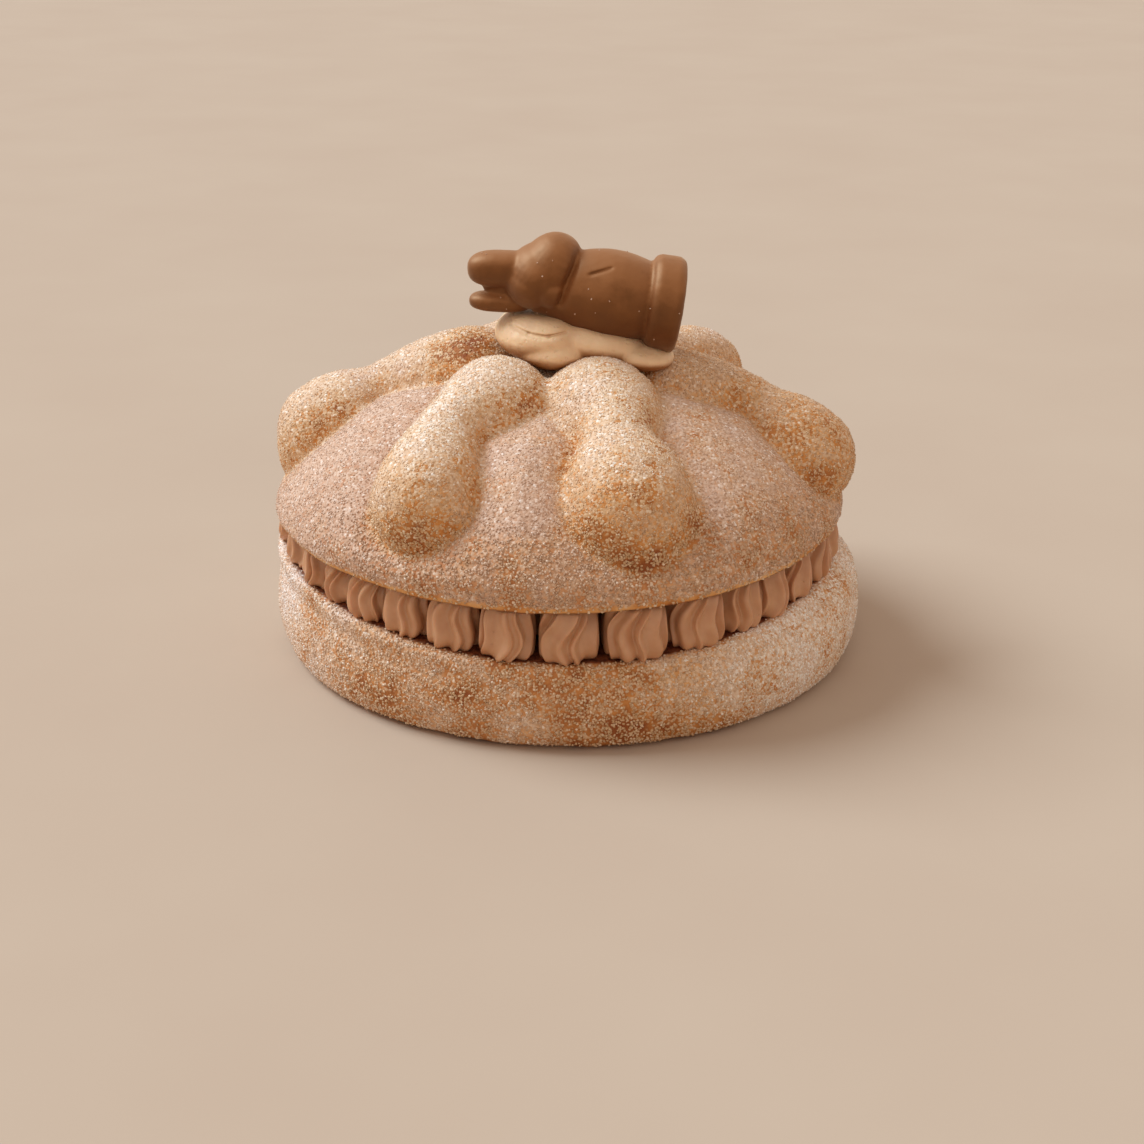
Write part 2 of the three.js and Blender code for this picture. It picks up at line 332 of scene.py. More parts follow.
# %% Model the base
SKIN = 0.65  # room left for the sugar inside the CAD box
BASE_TOP = BASE_CUT[0]
BASE_SHIFT = 2.7  # the cut face lies this far to the left of the foot
side = [(69.6, 0.3), (71.3, 1.4), (72.5, 4.6), (LOAF, 9), (72.6, 14), (71.4, 18.4)]
side.append((69.8, BASE_TOP))
profile = [(0, 0), (68.6, 0)] + [(radius - SKIN, height) for radius, height in side]
base = turned("crust_base", profile + [(0, BASE_TOP)], 96)
remeshed(base, 0.9, 2)
roughened(base, 9, 0.6)
roughened(base, 2.2, 0.35)
base_flat = points(base)
places = drawn_in(base_flat.copy())
places[:, 0] -= BASE_SHIFT * smoothstep(17, BASE_TOP, places[:, 2])
places[:, 2] *= cut_at(BASE_CUT, places[:, 0], places[:, 1]) / BASE_TOP
places[:, 2] = np.maximum(places[:, 2], 0)
move_to(base, places)
print("base:", len(places), "vertices")

# %% [markdown]
# ## Lid
#
# The lid is a high dome with six arms, each of two knobs and a waist between them, and the dough
# swells in the lobes that they leave. Real bones are strips of dough rolled thin in the
# middle and laid over the loaf, so here each one is a string of balls sunk in the dome. The
# dome is first drawn in where the bones lie, which is what makes the lobes stand up
# beside them, and then all is remeshed as one skin and smoothed as dough is by proving.

# %% The plain dome
SEAT, EDGE, GIRTH, SHOULDER, CROWN = LID_CUT[0], 69.3 - SKIN, 70.3 - SKIN, 38, 71.5
OUT, UP = 2.2, 1.4  # exponents of the dome's curve
OUT_SLOPE, UP_SLOPE = 1.2, 0.4  # one less each, for the curve's slope


def dome_height(radius):
    inward = np.clip(1 - (radius / GIRTH) ** OUT, 0, None)
    return SHOULDER + (CROWN - SHOULDER) * inward ** (1 / UP)


def dome_normal(radius):
    rise = (dome_height(radius) - SHOULDER) / (CROWN - SHOULDER)
    outward = OUT / GIRTH * (radius / GIRTH) ** OUT_SLOPE
    upward = UP / (CROWN - SHOULDER) * rise**UP_SLOPE
    return Vector((outward, upward)).normalized()


def dome_radius(height):
    rise = np.clip((height - SHOULDER) / (CROWN - SHOULDER), 0, 1)
    down = np.clip((SHOULDER - height) / (SHOULDER - SEAT), 0, 1)
    return GIRTH * (1 - rise**UP) ** (1 / OUT) - (GIRTH - EDGE) * down


# %% Turn the dome
DOME_STEPS = 40
profile = [(0, SEAT), (EDGE, SEAT), (GIRTH - 0.35, (SEAT + SHOULDER) / 2)]
for step in range(DOME_STEPS, -1, -1):
    radius = GIRTH * math.sin(math.pi / 2 * step / DOME_STEPS) ** (2 / OUT)
    profile.append((radius if step else 0, float(dome_height(radius))))
dome = turned("crust_lid", profile, 128)
remeshed(dome, 0.85, 0)
print("dome:", len(dome.data.vertices), "vertices")

# %% Bones: angle, distance from the axis, half width and height at each station of an arm
arms = [
    [(-122.9, 58.4, 12, 8.2), (-128.4, 41.7, 7.4, 5.6), (-127.7, 26.2, 11.8, 6.6)],
    [(-73, 56, 13.6, 7.6), (-72.9, 42.5, 8.2, 5.8), (-66.4, 23.7, 12.3, 6.2)],
    [(-9.2, 60.9, 13, 9.6), (-5.7, 49, 8.3, 5.6), (0, 27, 12, 4.4)],
    [(51.2, 58.9, 10.7, 12.1), (51.8, 42.2, 8, 5.8), (54.1, 25.1, 11.5, 4.5)],
    [(112.2, 58.2, 13, 8), (110.4, 41.3, 8, 6), (109.5, 23.2, 11.5, 5)],
    [(175, 60.5, 14.1, 9.7), (171.8, 46.9, 6.8, 4.9), (169.2, 24, 12.5, 7)],
]
BALL_STEPS = 6  # from one station to the next


def sunk_ball(angle, at, half, rise):
    """A ball that shows above the dome as a cap of this half width and height."""
    turn = math.radians(angle)
    radius = (half * half + rise * rise) / (2 * rise)
    outward, upward = dome_normal(at)
    out = at + outward * (rise - radius)
    up = float(dome_height(at)) + upward * (rise - radius)
    centre = Vector((out * math.cos(turn), out * math.sin(turn), up)) * MM
    size = {"segments": 24, "ring_count": 12, "radius": radius * MM}
    bpy.ops.mesh.primitive_uv_sphere_add(**size, location=centre)
    return bpy.context.active_object


def dough_bone(stations):
    balls = []
    for start, end in zip(stations, stations[1:]):
        for step in range(BALL_STEPS + 1):
            share = step / BALL_STEPS
            eased = share * share * (3 - 2 * share)
            along = [a + (b - a) * share for a, b in zip(start[:2], end[:2])]
            across = [a + (b - a) * eased for a, b in zip(start[2:], end[2:])]
            balls.append(sunk_ball(*along, *across))
    return balls


# %% Lay the bones, and cut them off level at the lid's cut face
balls = [ball for stations in arms for ball in dough_bone(stations)]
bones = joined("bones", balls)
level = (0, 0, (SEAT + 0.6) * MM)
bpy.ops.object.mode_set(mode="EDIT")
bpy.ops.mesh.select_all(action="SELECT")
bpy.ops.mesh.bisect(plane_co=level, plane_no=(0, 0, 1), use_fill=True, clear_inner=True)
bpy.ops.object.mode_set(mode="OBJECT")
remeshed(bones, 0.8, 2)
print("bones:", len(bones.data.vertices), "vertices from", len(balls), "balls")

# %% Swell the lobes between the bones
bones_tree = BVHTree.FromObject(bones, bpy.context.evaluated_depsgraph_get())


def beside_bones(places):
    return np.array([bones_tree.find_nearest(Vector(p) * MM)[3] for p in places]) / MM


def facing(places, angle, spread):
    """1 on the side of the loaf that faces an angle, fading to 0 at spread degrees from it."""
    around = np.degrees(np.arctan2(places[:, 1], places[:, 0])) - angle
    return smoothstep(spread, spread * 0.4, np.abs((around + 180) % 360 - 180))


FRONT = -98  # the middle of the two front arms, in degrees
LOBE_ROUND = 14  # how far from a bone the lobe beside it is still curving down
places = points(dome)
away = 1 - np.minimum(beside_bones(places) / LOBE_ROUND, 1)
fade = smoothstep(SEAT, SHOULDER + 4, places[:, 2])
fade *= 1 - 0.6 * smoothstep(30, 14, np.hypot(places[:, 0], places[:, 1]))
sink = (3.5 + 2 * facing(places, FRONT, 62)) * (1 - np.sqrt(1 - away**2))
move_to(dome, places - normals(dome) * (sink * fade)[:, None])
print("lobes: the dome is drawn in by up to", round(float((sink * fade).max()), 1), "mm")

# %% One skin for dome and bones, with the bones fading out towards the edge
FADE_TOP = SHOULDER + 2
LIP, LIP_ANGLE = 1.3, -168  # the edge stands out a little at the left
lid = joined("crust_lid", [dome, bones])
remeshed(lid, 0.75, 1)
places = points(lid)
radius, height = np.hypot(places[:, 0], places[:, 1]), places[:, 2]
plain = dome_radius(height)
excess = np.maximum(radius - plain, 0) * (height < FADE_TOP)
excess *= 1 - smoothstep(SEAT, FADE_TOP, height)
lip = LIP * facing(places, LIP_ANGLE, 45) * np.exp(-(((height - SEAT - 2) / 2.6) ** 2))
places[:, :2] *= (1 + (lip * (radius > 60) - excess) / np.maximum(radius, 1))[:, None]
move_to(lid, places)
roughened(lid, 12, 0.6)
roughened(lid, 2.4, 0.35)

# %% Set the lid in its place, and bow its cut face
LID_SHIFT = 2  # to the left of the axis
LEFT_EASE, LEFT_ROOM = -70.5, 2.4  # what bulges past the first is eased into the second
lid_flat = points(lid)
places = drawn_in(lid_flat.copy())
places[:, 0] -= LID_SHIFT
past = np.maximum(LEFT_EASE - places[:, 0], 0)
places[:, 0] += past - LEFT_ROOM * (1 - np.exp(-past / LEFT_ROOM))
up = (places[:, 2] - SEAT) / (CROWN - SEAT)
places[:, 2] += (cut_at(LID_CUT, places[:, 0], places[:, 1]) - SEAT) * (1 - up)
move_to(lid, places)
print("lid:", len(places), "vertices")

# %% [markdown]
# ## Crust
#
# Under the sugar the crust is golden on the bones, which took the most heat, rosier on the lobes,
# and brown in the seams and low on the knobs. Painted shade darkens it further in the seams, on
# the bone sides that face away from the light and on the right-hand bone, and painted light makes
# the sugar paler on the lid's left, which faces the light, and on the base's right. These are
# painted on the mesh by how far each vertex is from a bone and which way it faces, because no
# pattern knows where a bone lies. The attributes steer both the material and the grains:
# `bake_and_shade` is how dark the crust is, from baking and from painted shade, `warm` how golden,
# `bare` how much of it shows between the sugar, `thick_and_lit` how thick and pale the sugar lies,
# with painted light in it, `grains` how densely the loose grains are strewn, `coarse` how large
# they are, and `cut` marks the cut faces.

# %% Helpers to paint with
def painted(piece, name, values):
    attribute = piece.data.attributes.new(name, "FLOAT", "POINT")
    attribute.data.foreach_set("value", np.clip(values, 0, 1).astype(np.float32))


def blotches(places, grain, offset=0.0):
    shift = Vector((offset, offset, offset))
    return np.array([noise.noise(Vector(p) / grain + shift) for p in places])


# %% Regions of the lid
BONE_TONE = 3.2  # the golden tone of a bone fades out this far beside it
beside = beside_bones(lid_flat)
height = lid_flat[:, 2]
across, inward, upward = normals(lid).T
bone = smoothstep(BONE_TONE, 0.2, beside)
# The seams are browner crust, darkened further as painted shade for the shadow in the crease
seam = np.exp(-(((beside - 0.6) / 1.3) ** 2)) * facing(lid_flat, FRONT, 62)
toward = smoothstep(0.1, 0.6, 0.6 * across - 0.8 * inward)  # faces the front right
# Steep bone sides facing the front right, away from the light: browner crust plus painted shade
side = bone * smoothstep(0.85, 0.5, upward) * toward
# The left side faces the light, and its sugar is painted paler: painted light
left = facing(lid_flat, -155, 60)
lobe_left = left * (1 - bone)
# The right side is away from the light: its bone is painted darker and kept from the pale tops, as
# painted shade
right = facing(lid_flat, -10, 45)
topside = bone * smoothstep(0.5, 0.9, upward) * (1 - right)
low = bone * smoothstep(55, 44, height) * facing(lid_flat, FRONT, 70)
inner = bone * smoothstep(58, 66, height) * facing(lid_flat, FRONT, 70)
band = smoothstep(54, 43, height) * facing(lid_flat, -80, 85)  # low at the front
edge = smoothstep(SEAT + 1.9, SEAT + 1.1, height)
patches = blotches(lid_flat, 9) + 0.6 * blotches(lid_flat, 3.5, 2.7)

# %% How dark the lid is, with single spots that are browner or paler: x, y, width and strength
spots = [(-22, -4, 8, 1.7), (-59, -9, 9, 0.5), (61, -29, 5, 0.6), (2, -46, 2.5, 0.6)]
spots.append((41, -56, 12, -0.3))
# Browner crust plus painted shade in the seams, on bone sides facing away from the light, on the
# right bone
dark = 0.3 * seam + 0.4 * side + 0.3 * right * bone + 0.15 * low
for x, y, wide, strength in spots:
    off = np.hypot(lid_flat[:, 0] - x, lid_flat[:, 1] - y) / wide
    dark += strength * np.exp(-(off**2))
print("dark on the lid: up to", round(float(dark.max()), 2))

# %% Paint the lid
RIM = 0.7  # the sugar ends this far above the cut face
# The painted shade in dark also makes the crust barer and more golden; left is painted light
warm = 0.15 + 0.4 * bone + 0.5 * dark + 0.3 * band + 0.4 * patches + edge - 0.25 * lobe_left
bare = 0.5 * dark + 0.4 * band + 0.3 * patches + edge - 0.12 * left - 0.15 * inner
thick_and_lit = 0.15 + 0.15 * left - 0.15 * band + 0.25 * topside + 0.3 * inner - 0.3 * dark
dense = 0.8 + 0.2 * band + 0.2 * inner - 0.6 * edge - 2 * (height < SEAT + RIM)
painted(lid, "bake_and_shade", 0.2 + 0.4 * dark + 0.45 * patches + 0.2 * band)
painted(lid, "warm", warm)
painted(lid, "bare", bare)
painted(lid, "thick_and_lit", thick_and_lit - 0.1 * lobe_left)
painted(lid, "grains", dense)
painted(lid, "coarse", 0.55 * band + 0.1 * dark)
painted(lid, "cut", smoothstep(SEAT + RIM, SEAT + 0.2, height))

# %% Paint the base
patches = blotches(base_flat, 13, 4.2) + 0.7 * blotches(base_flat, 5, 8.1)
front = facing(base_flat, FRONT, 60)
# The right side is painted paler, as painted light for the light that reaches it there
right = facing(base_flat, -20, 60)
radius, height = np.hypot(base_flat[:, 0], base_flat[:, 1]), base_flat[:, 2]
top = (height > BASE_TOP - 0.6) * smoothstep(67.4, 66.8, radius)
foot = smoothstep(1.4, 0.6, height)
painted(base, "bake_and_shade", 0.2 + 0.3 * front + 0.5 * patches)
painted(base, "warm", 0.25 + 0.25 * facing(base_flat, -20, 90) + 0.4 * front + 0.4 * patches)
painted(base, "bare", 0.03 + 0.5 * front + 0.5 * patches)
painted(base, "thick_and_lit", 0.7 + 0.3 * right - 0.6 * front - 0.3 * patches)
painted(base, "grains", 0.8 + 0.2 * front - 2 * top - 2 * foot)
painted(base, "coarse", 0.15 + 0.35 * front)
painted(base, "cut", top)

# %% [markdown]
# ## Crust material
#
# A sugared crust is two finishes at once: crystals, and the baked dough that shows between them.
# A Voronoi texture draws the finest crystals as cells of 0.6 mm. Each cell has its own draw, and
# where that is lower than the painted `bare`, the dough shows instead. The larger grains are real
# geometry, further below, since a flat pattern has no outline against the light.

# %% The colour of sugar
def sugar_colour(tree, draw):
    """Clear crystals take the colour of the crust: rosy on the lobes, golden on the bones."""
    spread = ramp(tree, draw, [(0.0, 0.1), (0.93, 0.6), (0.96, 0.8)])
    # The sugar is paler where it lies thick, and where it is painted paler as painted light
    tint = maths(tree, "ADD", spread, maths(tree, "MULTIPLY", paint(tree, "thick_and_lit"), 0.5))
    stops = [(0.0, "#b0856a"), (0.4, "#d2af96"), (0.8, "#edd6c6"), (1.0, "#fff9f5")]
    rosy = ramp(tree, tint, stops)
    stops = [(0.0, "#c49766"), (0.4, "#e0bb90"), (0.8, "#f5dfc2"), (1.0, "#fff8ec")]
    return mixed(tree, paint(tree, "warm"), rosy, ramp(tree, tint, stops))


# %% Baked dough
CRYSTAL = 0.6  # size of the finest crystals
crust, tree, shader, place = new_material("sugared_crust")
mottle = cloudy(tree, place, 3.5, 4, 0.6)
# How dark the crust is comes from baking and from painted shade
shade = maths(tree, "ADD", paint(tree, "bake_and_shade"), maths(tree, "SUBTRACT", mottle, 0.5))
golden = ramp(tree, shade, [(0.1, "#efba78"), (0.5, "#d28c46"), (0.95, "#96501f")])
rosy = ramp(tree, shade, [(0.1, "#d9ad8f"), (0.5, "#bf835e"), (0.95, "#8a4c27")])
baked = mixed(tree, paint(tree, "warm"), rosy, golden)

# %% Crystals over it, and the crumb of the cut faces, dark red-brown as painted shade
packed = cells(tree, place, CRYSTAL)
draws = node(tree, "SeparateColor", {"Color": packed["Color"]}).outputs
sugared = maths(tree, "SUBTRACT", draws["Green"], paint(tree, "bare"))
sugared = ramp(tree, maths(tree, "MULTIPLY", sugared, 6), [(0.0, 0.0), (1.0, 1.0)])
skin = mixed(tree, sugared, baked, sugar_colour(tree, draws["Red"]))
gaps = ramp(tree, packed["Distance"], [(0.4, 0.0), (0.65, 0.3)])
skin = mixed(tree, gaps, skin, baked)
pores = cloudy(tree, place, 1.6, 3, 0.7)
# The crumb is painted a dark red-brown, as painted shade for the deep gaps between the stars
inside = ramp(tree, pores, [(0.4, "#58240f"), (0.6, "#8a4a24")])
coloured(tree, shader, mixed(tree, paint(tree, "cut"), skin, inside))
finished(shader, {"Roughness": 0.7})
bumped(tree, shader, packed["Distance"], 0.5, -0.3)

for piece, cad_node in ((base, "base_bread"), (lid, "lid_bread")):
    worn(piece, crust)
    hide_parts(cad_node)

# %% [markdown]
# ## Piped cream
#
# Whipped cream is satin, and light goes a little way into it before it comes out again, which a
# little subsurface scattering gives. A few small pits, where bubbles broke, keep it from looking
# like plastic.

# %% Cream material
cream, tree, shader, place = new_material("piped_cream")
streaks = cloudy(tree, place, 3.5, 2, 0.5)
coloured(tree, shader, ramp(tree, streaks, [(0.35, "#c8946d"), (0.65, "#d1a07a")]))
scattering = {"Subsurface Weight": 0.25, "Subsurface Radius": (1, 0.45, 0.2)}
finished(shader, {"Roughness": 0.3, **scattering, "Subsurface Scale": 1.2 * MM})
pits = ramp(tree, cells(tree, place, 3.4)["Distance"], [(0.05, 0.0), (0.1, 1.0)])
bumped(tree, shader, pits, 0.5, 0.3)

# %% [markdown]
# ## Piped stars
#
# A piped star is a round of stiff cream pushed through a toothed nozzle: ridged all round, twisted
# a little by the hand, slightly narrower at foot and top, and pressed against its neighbours. Four
# are piped here as a cook would, ring upon ring from a circle, and each is then copied round the
# loaf. A copy is squeezed between its neighbours and set between base and lid. The cream layer
# behind them hardly shows, so it stays the CAD model's own, in the same cream.

# %% Rings of a star one unit high and wide, as height and width
FOOT_WIDTH = 0.8
rings = [(0.05, 0.89), (0.13, 0.96), (0.26, 1), (0.4, 1), (0.56, 0.97), (0.7, 0.93)]
rings += [(0.83, 0.87), (0.93, 0.81), (1, 0.75)]


def ringed(around):
    """A round that is extruded ring upon ring."""
    bpy.ops.mesh.primitive_circle_add(vertices=around, radius=FOOT_WIDTH, fill_type="NGON")
    star = bpy.context.active_object
    only(star)
    bpy.ops.object.mode_set(mode="EDIT")
    bpy.ops.mesh.select_all(action="SELECT")
    low, width = 0, FOOT_WIDTH
    for height, wide in rings:
        lift = {"value": (0, 0, height - low)}
        bpy.ops.mesh.extrude_region_move(TRANSFORM_OT_translate=lift)
        grow = wide / width
        bpy.ops.transform.resize(value=(grow, grow, 1), center_override=(0, 0, height))
        low, width = height, wide
    bpy.ops.mesh.select_all(action="SELECT")
    bpy.ops.mesh.normals_make_consistent(inside=False)
    bpy.ops.object.mode_set(mode="OBJECT")
    return star


# %% Press the teeth in, and twist the star
TOOTH_POINTS = 6  # vertices from one tooth to the next
VALLEY, TWIST = 0.3, 0.35  # depth between the teeth, and turn from foot to top


def piped_star(number, teeth):
    around = TOOTH_POINTS * teeth
    star = ringed(around)
    places = points(star) * MM
    height = places[:, 2]
    angle = np.arctan2(places[:, 1], places[:, 0])
    radius = np.hypot(places[:, 0], places[:, 1])
    tooth = np.round((angle % math.tau) / math.tau * around) / TOOTH_POINTS
    valley = (0.5 + 0.5 * np.cos(math.tau * tooth)) ** 0.9
    uneven = 0.85 + 0.3 * np.sin(2.3 * np.floor(tooth + 0.5) + 1.7 * number)
    deep = 0.75 + 0.3 * smoothstep(0.1, 0.6, height) + 0.4 * smoothstep(0.2, 0, height)
    radius *= 1.04 - VALLEY * valley * uneven * deep
    angle += TWIST * height + 0.2 * np.sin(math.tau * (height - 0.15) + number)
    angle += 0.08 * np.sin(3.1 * tooth + number)
    places[:, 0], places[:, 1] = radius * np.cos(angle), radius * np.sin(angle)
    move_to(star, places / MM)
    applied(star, "SUBSURF", levels=1, render_levels=1)
    return star


pipings = [piped_star(number, teeth) for number, teeth in enumerate((11, 10, 12, 11))]
print("one star:", len(pipings[0].data.polygons), "faces")

# %% Where the stars stand: degrees to the right of the front's middle, then evenly at the back
STAR_RING, RING_SHIFT, BACK_STARS = 61.9, -2.4, 20
stands = [-60, -51.5, -42.3, -32.3, -21.7, -10.2, 2, 15.8, 29.2, 40.5, 49, 58.5, 69.5]
back_gap = (360 - (stands[-1] - stands[0])) / (BACK_STARS + 1)
stands += [stands[-1] + back_gap * step for step in range(1, BACK_STARS + 1)]
print("stars:", len(stands), "with", round(back_gap, 1), "degrees between those at the back")


# %% Set a star between its neighbours, on the base and under the lid
BITE_LOW, BITE_HIGH = 0.2, 0.3  # how far a star presses into base and lid
FIRM = 6  # the higher, the more suddenly a star's side stops at its neighbour


def squeezed(side, room):
    return side / (1 + np.abs(side / room) ** FIRM) ** (1 / FIRM)


def set_star(number, piped):
    before = math.radians((stands[number] - stands[number - 1]) % 360) / 2
    after = math.radians((stands[(number + 1) % len(stands)] - stands[number]) % 360) / 2
    angle = math.radians(stands[number] - 90)
    uneven = [math.sin(number * 2.4 + kind * 1.9) for kind in range(4)]
    size = (3.6 + 0.3 * STAR_RING * (before + after)) * (1 + 0.03 * uneven[2])
    star = bpy.data.objects.new(f"star_{number + 1:02d}", piped.data.copy())
    bpy.context.collection.objects.link(star)
    places = points(star) * MM
    turn = uneven[3] * 3
    out = places[:, 0] * math.cos(turn) - places[:, 1] * math.sin(turn)
    out = STAR_RING + 0.3 * uneven[1] + size * out
    side = size * (places[:, 0] * math.sin(turn) + places[:, 1] * math.cos(turn))
    room = out * np.where(side < 0, math.tan(before), math.tan(after)) - 0.08
    side = squeezed(side * min(1.1, 1.18 * STAR_RING * (before + after) / 2 / size), room)
    x = RING_SHIFT + out * math.cos(angle) - side * math.sin(angle)
    y = out * math.sin(angle) + side * math.cos(angle)
    low, high = cut_at(BASE_CUT, x, y) - BITE_LOW, cut_at(LID_CUT, x, y) + BITE_HIGH
    move_to(star, np.column_stack((x, y, low + (high - low) * places[:, 2])))
    return star


# %% Set all the stars, and give the cream layer its finish
for number in range(len(stands)):
    star = set_star(number, pipings[(number * 7 + number // 4) % 4])
    worn(star, cream)
    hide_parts(f"cream_star_{number + 1:02d}")
for piped in pipings:
    bpy.data.objects.remove(piped)
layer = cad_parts["cream_layer"]
layer.data.materials.clear()
layer.data.materials.append(cream)

# %% [markdown]
# ## Dab of cream
#
# A spoonful of coffee cream holds the rabbit. It has a flat-topped mound at its left and runs
# down to a tongue at its right. Five flattened balls are joined and remeshed, the top is pressed
# down, and the fold that the spoon left is pressed in as three fine lines. A cloth or fluid
# simulation would be slower and harder to steer. Its cream is paler than the piped one and full of
# small bubbles, and it is painted browner where it turns under, as painted shade.

# %% Press a line into a surface
def creased(piece, start, end, width, depth):
    """Press in the front by a line from one place to another, each given as x and z."""
    places = points(piece)
    line = np.subtract(end, start)
    from_start = places[:, [0, 2]] - start
    along = np.clip(from_start @ line / (line @ line), 0, 1)
    off = np.linalg.norm(from_start - along[:, None] * line, axis=1)
    taper = (1 - (2 * along - 1) ** 6) * smoothstep(-6, -9, places[:, 1])
    places[:, 1] += depth * np.exp(-((off / width) ** 2)) * taper
    move_to(piece, places)


# %% Balls of any shape and lean
def leaned(places, degrees):
    """Turned about the Y axis, so that the left end rises and the right end falls."""
    x, y, z = places.T
    c, s = math.cos(math.radians(degrees)), math.sin(math.radians(degrees))
    return np.column_stack((x * c + z * s, y, z * c - x * s))


def ball(centre, half, turn=0, blocky=1):
    bpy.ops.mesh.primitive_uv_sphere_add(segments=32, ring_count=16, radius=1)
    piece = bpy.context.active_object
    places = points(piece) * MM
    places = np.sign(places) * np.abs(places) ** blocky
    move_to(piece, leaned(places * half, turn) + centre)
    return piece


# %% Coffee cream material
coffee, tree, shader, place = new_material("coffee_cream")
cloud = cloudy(tree, place, 6, 4, 0.6)
open_side = ramp(tree, cloud, [(0.3, "#ecc69d"), (0.7, "#f6d4ab")])
# Where the dab faces down it is painted brown, as painted shade
coloured(tree, shader, mixed(tree, paint(tree, "shade_under"), open_side, colour("#9a6230")))
scattering = {"Subsurface Weight": 0.2, "Subsurface Radius": (1, 0.5, 0.25)}
finished(shader, {"Roughness": 0.5, **scattering, "Subsurface Scale": 1.0 * MM})
bubbles = ramp(tree, cells(tree, place, 1.7)["Distance"], [(0.12, 0.0), (0.22, 0.7)])
whipped = maths(tree, "ADD", bubbles, cloudy(tree, place, 1.3, 3, 0.6))
bumped(tree, shader, whipped, 0.55, 0.4)

# %% Model the dab from balls, each with its centre, half size and lean
mound = [
    ((-6.2, -3, 77.4), (12.2, 14.6, 6.6), 0),
    ((-4.2, -6, 74.6), (9.8, 12.6, 4.6), 0),
    ((6, -3.5, 76.6), (13, 13.5, 5.6), 10),
    ((16.6, -6, 73.4), (8, 10.8, 3.6), 8),
    ((3, 4, 72), (15, 9, 7), 5),
]
PRESSED = 1.2  # depth over which the pressed top is eased
dab = joined("dab", [ball(*lump) for lump in mound])
remeshed(dab, 0.4, 9)
places = points(dab)
pressed_top = 83 - 0.26 * np.maximum(places[:, 0] + 3, 0)
over = np.maximum(places[:, 2] - pressed_top + PRESSED, 0)
places[:, 2] -= over - PRESSED * (1 - np.exp(-over / PRESSED))
move_to(dab, places)
roughened(dab, 7, 0.5)

# %% Fold and finish of the dab
folds = [((-14.6, 81), (-9.4, 79.8)), ((-10.4, 79.9), (-4.8, 79.5)), ((-5.8, 79.5), (-0.6, 80.3))]
for start, end in folds:
    creased(dab, start, end, 0.4, 0.9)
# Painted shade where the surface faces down, with a few random blotches
down = -normals(dab)[:, 2]
painted(dab, "shade_under", smoothstep(-0.2, 0.8, down) + 0.15 * blotches(points(dab), 5))
worn(dab, coffee)
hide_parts("cream_dab")

# %% [markdown]
# ## Chocolate rabbit
#
# The rabbit was cast in a two-part mould and laid on its side: a barrel of a body, a round foot,
# an egg of a head and two ears laid back. Body and foot are turned, head and ears are balls, and
# all are remeshed into one skin, which rounds every meeting as a mould does. It is modelled
# along the X axis and then laid over. Milk chocolate is satin, which a little sheen gives. What
# faces up is painted lighter and what faces down darker: painted light and shade.

# %% Chocolate material
chocolate, tree, shader, place = new_material("milk_chocolate")
cloud = maths(tree, "SUBTRACT", cloudy(tree, place, 6, 4, 0.6), 0.5)
# Painted light and shade: lighter where the rabbit faces up, darker where it faces down, with a
# mottle
top_light = maths(tree, "ADD", paint(tree, "top_light"), cloud)
coloured(tree, shader, ramp(tree, top_light, [(0.0, "#582604"), (0.45, "#6d3810"), (0.9, "#925a32")]))
satin = {"Roughness": 0.52, "Specular IOR Level": 1.0, "Specular Tint": (1, 0.72, 0.4, 1)}
sheen = {"Sheen Weight": 0.3, "Sheen Roughness": 0.45, "Sheen Tint": (1, 0.72, 0.45, 1)}
finished(shader, {**satin, **sheen})
scuffs = cloudy(tree, place, 1.2, 3, 0.6)
bumped(tree, shader, scuffs, 0.12, 0.3)

# %% Body and foot, each a profile of radius and place along the body
NECK, FULL = (-5, 7), (10, 10.9)  # place along the body, and radius there
barrel = [(0, -8), (6.6, -8)]
for at in range(-5, 11, 2):
    off = (at - FULL[0]) / (NECK[0] - FULL[0])
    barrel.append((FULL[1] + (NECK[1] - FULL[1]) * off * off, at))
barrel += [(10.8, 11.5), (10.4, 14), (9.8, 16.4), (9.2, 18.4), (9.2, 20), (0, 20)]
disc = [(0, 18.6), (9.9, 18.6), (10.9, 19.1), (11.5, 20.3)]
disc += [(11.5, 24.7), (10.9, 25.9), (9.9, 26.4), (0, 26.4)]
castings = [turned("barrel", barrel, 64), turned("disc", disc, 64)]
for piece in castings:
    places = points(piece)
    move_to(piece, places[:, [2, 1, 0]] * (1, 1, -1))
print("castings:", [len(piece.data.vertices) for piece in castings], "vertices")

# %% Head and ears, joined to the body and laid over
LEAN, REST = 8, (-0.4, -5, 88.1)
EAR_BLOCKY = 0.75  # under 1, a ball is squarer
lumps = [
    ((-5.4, 0, 4.35), (7.3, 9, 9), 22),  # top of the head
    ((-7.6, 0, 2.4), (7.7, 9.2, 8), 24),  # middle of the head
    ((-8.9, 0, 0.4), (6.9, 8.8, 6), 0),  # lower part of the head
    ((-4.4, 0, 0), (5.6, 9.4, 4.8), 0),  # nape
    ((-16.8, 0, 2.6), (8, 4.8, 4.2), -8, EAR_BLOCKY),  # upper ear
    ((-15.8, 0, -5.2), (7.6, 4.2, 2.3), -6, EAR_BLOCKY),  # lower ear
    ((-13.6, 0, -1), (7.4, 3, 4.2), 0),  # root between the ears
]
rabbit = joined("rabbit", castings + [ball(*lump) for lump in lumps])
bpy.ops.object.mode_set(mode="EDIT")
bpy.ops.mesh.select_all(action="SELECT")
bpy.ops.mesh.normals_make_consistent(inside=False)
bpy.ops.object.mode_set(mode="OBJECT")
remeshed(rabbit, 0.45, 3)
move_to(rabbit, leaned(points(rabbit), LEAN) + REST)

